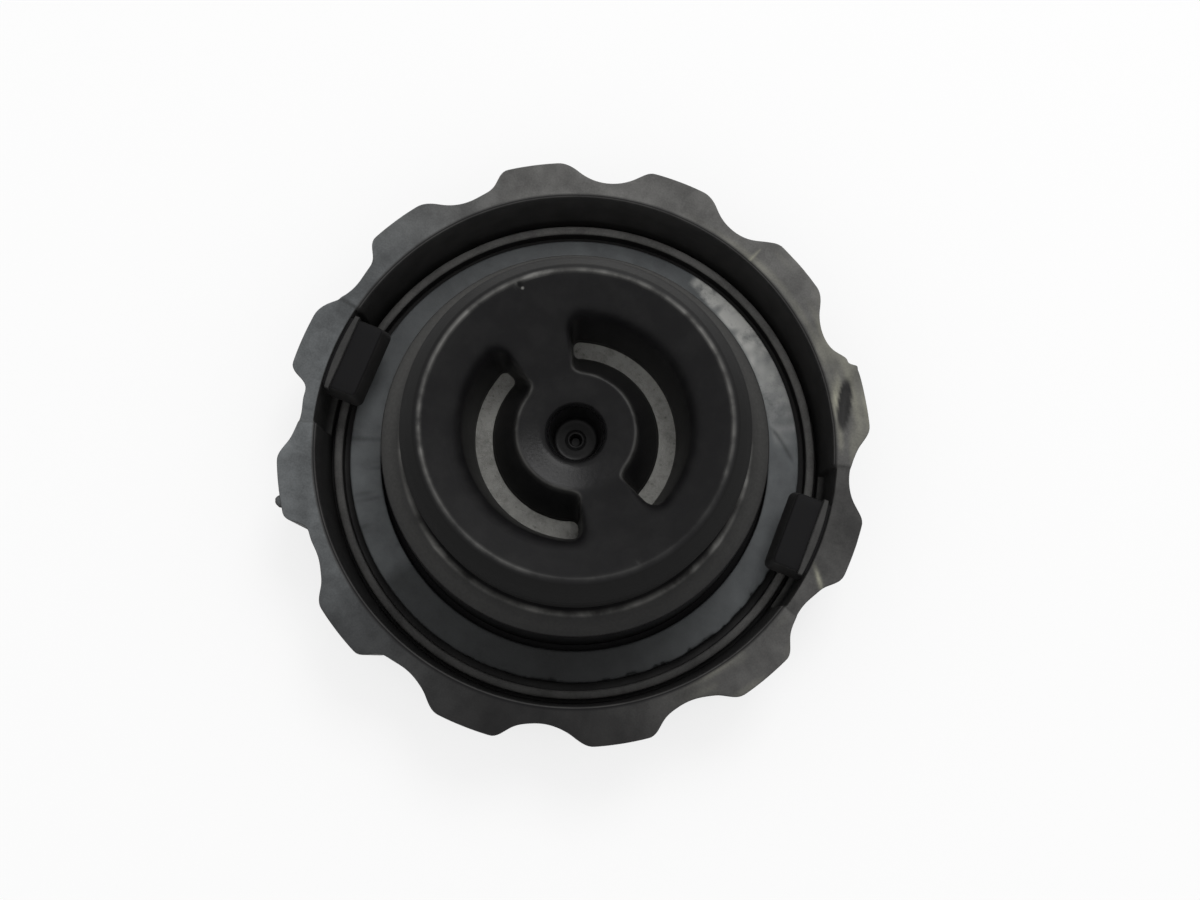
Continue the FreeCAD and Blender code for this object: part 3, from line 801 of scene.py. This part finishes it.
at, radius, angle, up_facing = measured(shell)
height = at[:, 2]
upward = soft_step(up_facing, 0.35, 0.85)
rim_face = soft_step(height, 10.3, 10.6) * upward * soft_step(radius, 26.35, 26.6)
spared = between(angle, *RECESSES[1])
dent_along, dent_across = from_dent(at[:, 0], at[:, 1])
dark_dent = 1 - soft_step(np.hypot(dent_along / DARK_LONG, dent_across / DARK_WIDE), 0.75, 1.1)
arc = angle * 28
cloudy = 1 + 0.12 * waves(arc * 0.6, radius, 51, finest=1.8)
cloudy += 0.08 * waves(arc, radius, 52, finest=0.8)
# The rim's grey: wear with painted shade and light by bearing, mottled, and less in the recesses
# and in the dark dent.
rubbed_and_lit_rim = zones(angle, RUBBED_AND_LIT_RIM) * cloudy * (1 - 0.25 * spared) * (1 - 0.75 * dark_dent)
paint(shell, "rim", rim_face * rubbed_and_lit_rim)

worn = bump(apart(angle, 212), 0.33)
for bearing, strength in [(150, 0.6), (248, 0.5)]:
    worn = np.maximum(worn, strength * bump(apart(angle, bearing), 0.2))
smear = 0.12 + 0.3 * waves(arc * 0.3, radius * 1.1, 53, finest=1.1)
smear += 0.4 * bump(radius - 26.9, 0.35) * soft_step(apart(angle, 197), 0.02, 0.1)
smear += 0.5 * bump(apart(angle, 226) * 28.2, 2.2) * bump(radius - 28.0, 0.5)
smear += bump(apart(angle, 248.6) * 27, 0.14) * (radius < 28.1)
smear += 0.5 * bump(dent_across - 1.0, 0.3) * bump(dent_along + 0.5, 2.2)
ridge = np.abs(radius - 27.1 - (173.75 - np.degrees(angle) % 360) * 0.48)
scuff = 0.8 * bump(ridge, 0.3) * bump(radius - 27.9, 1.1) * bump(apart(angle, 172.2) * 28, 1.3)
smeared = worn * smear * (1 - spared) * (1 - dark_dent)
paint(shell, "worn", rim_face * np.maximum(smeared, scuff))
# Painted light: a bluish tint on the rim's face round bearing 20, standing in for a bluish lamp
# on that side.
paint(shell, "blue_light_tint", soft_step(np.cos(apart(angle, 20)), 0.2, 0.9) * rim_face)

# %% Painted light on the shell's walls, rib, channel and steps
lying = np.abs(up_facing)
grip = soft_step(radius, 26.9, 27.5) * (1 - soft_step(lying, 0.5, 0.9))
paint(shell, "grip", grip)
# Painted light lifts the shade on the rib's top, the mouth's inner walls and the channel's
# floor, most on the lamp's side, where the rim shades them. The tops of the lugs' steps and the
# rim's inner edge are lightened a little as well.
rib_face = soft_step(height, 3.6, 3.95) * (1 - soft_step(height, 4.3, 4.6)) * (up_facing > 0.2)
rib_zones = {15: 0.5, 60: 0.32, 125: 0.3, 150: 0.32, 168: 0.75, 200: 0.7, 270: 0.9, 340: 0.65}
inside = (radius < 27.2) & (radius > 21.5) & (height > 4.3)
inner_wall = (1 - soft_step(lying, 0.3, 0.8)) * inside
wall_zones = {15: 0.13, 75: 0.05, 180: 0.12, 290: 0.2}
channel = 0.1 * (radius > 23.8) * (radius < 26.1) * (height > 2.3) * (height < 4.4)
step_top = 0.2 * (radius > 25.2) * (radius < 26.3) * (height > 10.4) * upward
painted_lift = [rib_face * zones(angle, rib_zones), inner_wall * zones(angle, wall_zones)]
paint(shell, "painted_lift", np.max(painted_lift + [channel, step_top], axis=0))

# %% Shell plastic
# The grey of rubbed plastic also serves as the colour of the painted light on the rim, rib,
# walls and channel.
BLACK, RUBBED_AND_LIT_GREY, BLUE_LIGHT_GREY = (0.007, 0.0068, 0.0074, 1), (0.2, 0.197, 0.19, 1), (0.18, 0.19, 0.195, 1)
SMEARED = (0.3, 0.295, 0.235, 1)
cap = Finish("worn cap plastic")
where = cap.place()
mottle, grain = cap.noise(where, 0.35, 5, 0.6), cap.noise(where, 5.0, 3, 0.6)
mottled = cap.times(cap.ramp(mottle, 0.3, 0.7), 0.4)
mottled = cap.plus(mottled, cap.times(cap.ramp(grain, 0.2, 0.8), 0.3))
mottled = cap.maths("ADD", mottled, 0.65, clamp=False)
# Painted light: the rim's grey turns bluish where the painted bluish light falls.
grey = cap.mixed(cap.attribute("blue_light_tint"), RUBBED_AND_LIT_GREY, BLUE_LIGHT_GREY)
colour = cap.mixed(cap.times(cap.attribute("rim"), mottled), BLACK, grey)
grip = cap.times(cap.attribute("grip"), 0.07)
colour = cap.mixed(cap.times(grip, mottled), colour, RUBBED_AND_LIT_GREY)
# Painted light: the shaded rib, walls and channel lightened towards the grey.
colour = cap.mixed(cap.times(cap.attribute("painted_lift"), mottled), colour, RUBBED_AND_LIT_GREY)
colour = cap.mixed(cap.times(cap.attribute("worn"), mottled), colour, SMEARED)
cap.relief(cap.plus(grain, mottle), 0.25, 0.06)
cap.cover(shell, colour, cap.spread(grain, 0.45, 0.62), PLASTIC_IOR, 0.15)

# %% [markdown]
# ### Plug plastic
#
# The plug is the same black plastic, but it was only ever wiped, so it is smoother.
# Its sharp turns carry a thin grey line, partly wear and partly a painted highlight, with
# painted glints along it. Its flat step and the upper side of its barrel are lighter,
# partly dust and partly painted light; the rest of the barrel and the pit's wall are
# darkened with painted shade, and two small pits are painted near black as painted shade.

# %% Strengths on the plug
TIP_ZONES = {0: 1.2, 30: 1.0, 50: 0.5, 78: 0.65, 105: 0.2, 160: 0.08, 180: 0.4, 210: 1.15,
             330: 1.15}
LEDGE_ZONES = {0: 0.85, 40: 0.6, 100: 0.3, 135: 0.28, 170: 0.45, 215: 0.7, 270: 1.0, 330: 0.95}
BARREL_ZONES = {30: 0.03, 215: 0.06, 245: 0.2, 275: 0.38, 300: 0.27, 340: 0.1}

at, radius, angle, up_facing = measured(plug)
height = at[:, 2]
uneven = 0.8 + 0.3 * waves(angle * 15, radius, 61, finest=1.0)
# Wear and painted highlight: thin grey lines on the tip's inner edge and on the ledge's edge,
# stronger at some bearings.
tip_line = bump(radius - 14.6, 0.17) * soft_step(height, 21.6, 21.95) * uneven
tip_line *= zones(angle, TIP_ZONES)
# Painted glints: brighter spots along the tip's line.
for bearing, width in [(308, 4), (182, 1.2), (33, 1.2)]:
    tip_line *= 1 + 0.9 * bump(np.degrees(apart(angle, bearing)), width)
ledge_line = bump(radius - 17.35, 0.2) * bump(height - LEDGE_Z, 0.25) * uneven
# Painted glints: brighter spots along the ledge's line.
for bearing, width in [(187.5, 1.8), (165.5, 2.6), (154, 1.2), (60, 3)]:
    ledge_line *= 1 + 1.3 * bump(np.degrees(apart(angle, bearing)), width)
paint(plug, "edge", np.maximum(0.75 * tip_line, 0.7 * ledge_line))

# Dust and painted light: the ledge's face, and at some bearings the outside of the barrel and
# taper, are made lighter.
barrel = soft_step(radius, 14.9, 15.2) * soft_step(height, 13.3, 13.8)
ledge = soft_step(up_facing, 0.25, 0.6) * bump(height - 12.6, 0.75)
ledge *= soft_step(radius, 16.9, 17.4) * zones(angle, LEDGE_ZONES)
paint(plug, "ledge", np.maximum(ledge, barrel * zones(angle, BARREL_ZONES)))
# Painted shade: the barrel and taper darkened towards near black, least on the lamp's side, and
# the pit's lower wall too; both are also made rougher.
dull_and_shaded = barrel * zones(angle, {0: 0.8, 45: 1, 200: 1, 250: 0.3, 320: 0.4})
pit_wall = 0.35 * (radius < 2.9) * (1 - soft_step(height, 14.5, 16.5))
paint(plug, "dull_and_shaded", np.maximum(dull_and_shaded, pit_wall))
paint(plug, "disc", 1 - soft_step(radius, 5.3, 5.9))

# %% The lip of each window, on the disc's side: a thin worn line with a painted highlight
top_r, top_angle, top_z = window_top()
line_at = np.concatenate([polar(top_r, middle + top_angle, top_z) for middle in WINDOWS])
inner = np.tile(1 - soft_step(top_r, 7.4, 9.5), 2)
line_at, inner = line_at[inner > 0.02], inner[inner > 0.02]
near = np.flatnonzero((radius < 9.6) & (radius > 4.5) & (height > 16))
away = np.hypot(at[near, :1] - line_at[:, 0], at[near, 1:2] - line_at[:, 1])
lip = np.zeros(len(at))
lip[near] = bump(away.min(axis=1), 0.15) * inner[away.argmin(axis=1)]
paint(plug, "lip", lip)

# %% Plug plastic
# The plug's black, the near black of its painted shade, the near black of its painted pits, and
# its greys.
PLUG_BLACK, PLUG_SHADE = (0.0062, 0.006, 0.0065, 1), (0.003, 0.003, 0.003, 1)
HOLE_SHADE = (0.001, 0.001, 0.001, 1)
PLUG_GREY, PLUG_WORN_AND_LIT = (0.085, 0.084, 0.08, 1), (0.17, 0.168, 0.16, 1)
# A painted glint: a bright dot in a small pit on the tip.
GLINT = (13.85, 313.3, 21.6)
cup = Finish("plug plastic")
where = cup.place()
cloud, grain = cup.noise(where, 0.4, 4, 0.6), cup.noise(where, 3.0, 3, 0.6)
disc, dull_and_shaded = cup.attribute("disc"), cup.attribute("dull_and_shaded")
colour = cup.mixed(cup.times(cup.ramp(cloud, 0.35, 0.8), 0.06), PLUG_BLACK, PLUG_GREY)
# Painted shade on the barrel and the pit's wall.
colour = cup.mixed(cup.times(dull_and_shaded, 0.8), colour, PLUG_SHADE)
# Dust and painted light on the ledge and barrel, broken up by grain.
dust = cup.plus(cup.times(grain, 0.5), 0.4)
colour = cup.mixed(cup.times(cup.attribute("ledge"), dust), colour, PLUG_GREY)
# Wear and painted highlight: the edge lines, and a weaker line on the windows' lips.
line = cup.plus(cup.attribute("edge"), cup.times(cup.attribute("lip"), 0.35))
line = cup.times(line, cup.ramp(cloud, 0.2, 0.6))
# Painted glint: the bright dot.
line = cup.most(line, cup.spot(where, *GLINT, 0.2))
# Wear and painted highlight: the lines and the glint turn light grey.
colour = cup.mixed(line, colour, PLUG_WORN_AND_LIT)
# Painted shade: two small pits, one on the tip and one at the pit's mouth, painted near black;
# the glint is kept out of the first.
hole_shade = cup.most(cup.spot(where, 14.2, 313.9, 21.8, 0.42), cup.spot(where, 2.85, 260, 16.7, 0.3))
hole_shade = cup.less(hole_shade, cup.spot(where, *GLINT, 0.14))
colour = cup.mixed(hole_shade, colour, HOLE_SHADE)
rough = cup.less(cup.spread(cloud, 0.4, 0.5), cup.times(disc, 0.2))
rough = cup.plus(rough, cup.times(dull_and_shaded, 0.3))
cup.relief(grain, 0.25, 0.05)
cup.cover(plug, colour, rough, PLASTIC_IOR, 0.24)

# %% [markdown]
# ### Rubber and filter fibre
#
# The rubber is dull with a blue-grey bloom; along one stretch a pale dust lies on it,
# with a scratch beside it. The filter is light grey fibre with dark specks of dirt.

# %% Strengths on the rubber
BLOOM_ZONES = {15: 0.66, 53: 0.68, 57: 0.3, 105: 0.08, 125: 0.15, 165: 0.62, 200: 0.78,
               250: 0.85, 290: 0.7, 330: 0.48}
DUST_ZONES = {203: 0, 208: 0.2, 216: 0.35, 228: 0.6, 240: 1.35, 257: 1.3, 259: 0}
DUST_FROM = {205: 21.2, 215: 20.9, 235: 21.6, 250: 22.0, 258: 22.7}

at, radius, angle, up_facing = measured(seal)
top = soft_step(up_facing, 0.4, 0.8)
bearing = np.degrees(angle) % 360
dust_in = np.interp(bearing, list(DUST_FROM), list(DUST_FROM.values()))
dusty = zones(angle, DUST_ZONES) * soft_step(radius, dust_in - 0.2, dust_in + 0.3)
streaky = 0.85 + 0.35 * waves(bearing * 0.4, radius * 0.6, 71, finest=0.7)
scratch = bump(radius - 21.2 - (210 - bearing) * 0.2, 0.24)
scratch *= soft_step(bearing, 198, 202) * (1 - soft_step(bearing, 208, 211))
paint(seal, "dust", dusty * streaky * top * (1 - 0.7 * scratch))
marks = np.maximum(waves(bearing * 0.5, radius * 0.25, 72, finest=0.8) - 0.5, 0)
marks = 1 - 0.5 * marks * (bearing > 8) * (bearing < 56)
paint(seal, "bloom", top * zones(angle, BLOOM_ZONES) * marks * (1 - 0.5 * scratch))

# %% Rubber
RUBBER, BLOOM, DUST = (0.018, 0.0182, 0.0185, 1), (0.19, 0.203, 0.21, 1), (0.6, 0.6, 0.575, 1)
old = Finish("old rubber")
where = old.place()
cloud, grain = old.noise(where, 0.35, 5, 0.65), old.noise(where, 3.5, 4, 0.7)
bloom = old.times(old.attribute("bloom"), old.spread(cloud, 0.65, 1.1, 0.25, 0.75))
colour = old.mixed(bloom, RUBBER, BLOOM)
flecks = old.plus(old.times(cloud, 0.6), old.times(grain, 0.4))
dust = old.times(old.attribute("dust"), old.ramp(flecks, 0.22, 0.55))
colour = old.mixed(dust, colour, DUST)
old.relief(old.plus(grain, cloud), 0.4, 0.1)
old.cover(seal, colour, 0.62, RUBBER_IOR, 0.35)

# %% Filter fibre
FIBRE, DIRT = (0.30, 0.298, 0.28, 1), (0.09, 0.088, 0.082, 1)
felt = Finish("filter fibre")
where = felt.place()
cloud, grain = felt.noise(where, 0.9, 6, 0.7), felt.noise(where, 4.5, 4, 0.75)
specks = felt.node("TexVoronoi", {"feature": "F1"}, Vector=where, Scale=1.1)["Distance"]
specks = felt.less(1.0, felt.ramp(specks, 0.05, 0.2))
dirt = felt.plus(felt.times(felt.ramp(cloud, 0.42, 0.75), 0.55), felt.times(specks, 0.5))
felt.relief(grain, 0.8, 0.2)
felt.cover(vent, felt.mixed(dirt, FIBRE, DIRT), 0.9, RUBBER_IOR, COMMON_SPECULAR)

# %% [markdown]
# ## Floor and light
#
# The cap lies on a plain pale floor. It looks whiter to the camera and in reflections than
# to the light that it sends back. The sky is an even soft white, and one soft lamp stands
# beyond the far side of the picture, a little to the right, as the lit side of the dish
# shows.

# %% Floor
FLOOR_HALF, FLOOR_BELOW, FLOOR_WHITENED = 3.0, 0.00002, 0.75
ends = [(-FLOOR_HALF, -FLOOR_HALF), (FLOOR_HALF, -FLOOR_HALF)]
ends += [(FLOOR_HALF, FLOOR_HALF), (-FLOOR_HALF, FLOOR_HALF)]
floor_mesh = bpy.data.meshes.new("floor")
floor_mesh.from_pydata([(x, y, -FLOOR_BELOW) for x, y in ends], [], [(0, 1, 2, 3)])
floor = bpy.data.objects.new("floor", floor_mesh)
bpy.context.scene.collection.objects.link(floor)
pale = Finish("pale floor")
pale.cover(floor, (0.93, 0.93, 0.93, 1), 0.9, COMMON_IOR, COMMON_SPECULAR)
ray = pale.node("LightPath")
seen = pale.most(ray["Is Glossy Ray"], ray["Is Transmission Ray"])
seen = pale.times(pale.most(ray["Is Camera Ray"], seen), FLOOR_WHITENED)
white = pale.node("Emission", Color=(1, 1, 1, 1), Strength=1.0)["Emission"]
whitened = pale.node("MixShader", i0=seen, i1=pale.shader.outputs["BSDF"], i2=white)["Shader"]
pale.feed(pale.tree.nodes["Material Output"].inputs["Surface"], whitened)

# %% Light
SKY_STRENGTH, LAMP_SIZE, LAMP_POWER = 0.76, 0.2, 0.72
LAMP_TOWARDS, LAMP_FAR, LAMP_UP = 68, 0.28, 0.42
world = bpy.data.worlds.new("white studio")
bpy.context.scene.world = world
world.use_nodes = True
sky = world.node_tree.nodes["Background"]
sky.inputs["Color"].default_value = (1, 1, 1, 1)
sky.inputs["Strength"].default_value = SKY_STRENGTH

lamp = bpy.data.objects.new("soft lamp", bpy.data.lights.new("soft lamp", "AREA"))
bpy.context.scene.collection.objects.link(lamp)
lamp.data.size, lamp.data.energy = LAMP_SIZE, LAMP_POWER
lamp_at = towards(LAMP_TOWARDS) * LAMP_FAR + Vector((0, 0, LAMP_UP))
aim = (-lamp_at).to_track_quat("-Z", "Y").to_matrix().to_4x4()
lamp.matrix_world = Matrix.Translation(lamp_at) @ aim
print("lamp", round(lamp_at.length * 1000), "mm from the cap")

# %% Finish
bpy.context.scene.view_settings.view_transform = "Standard"
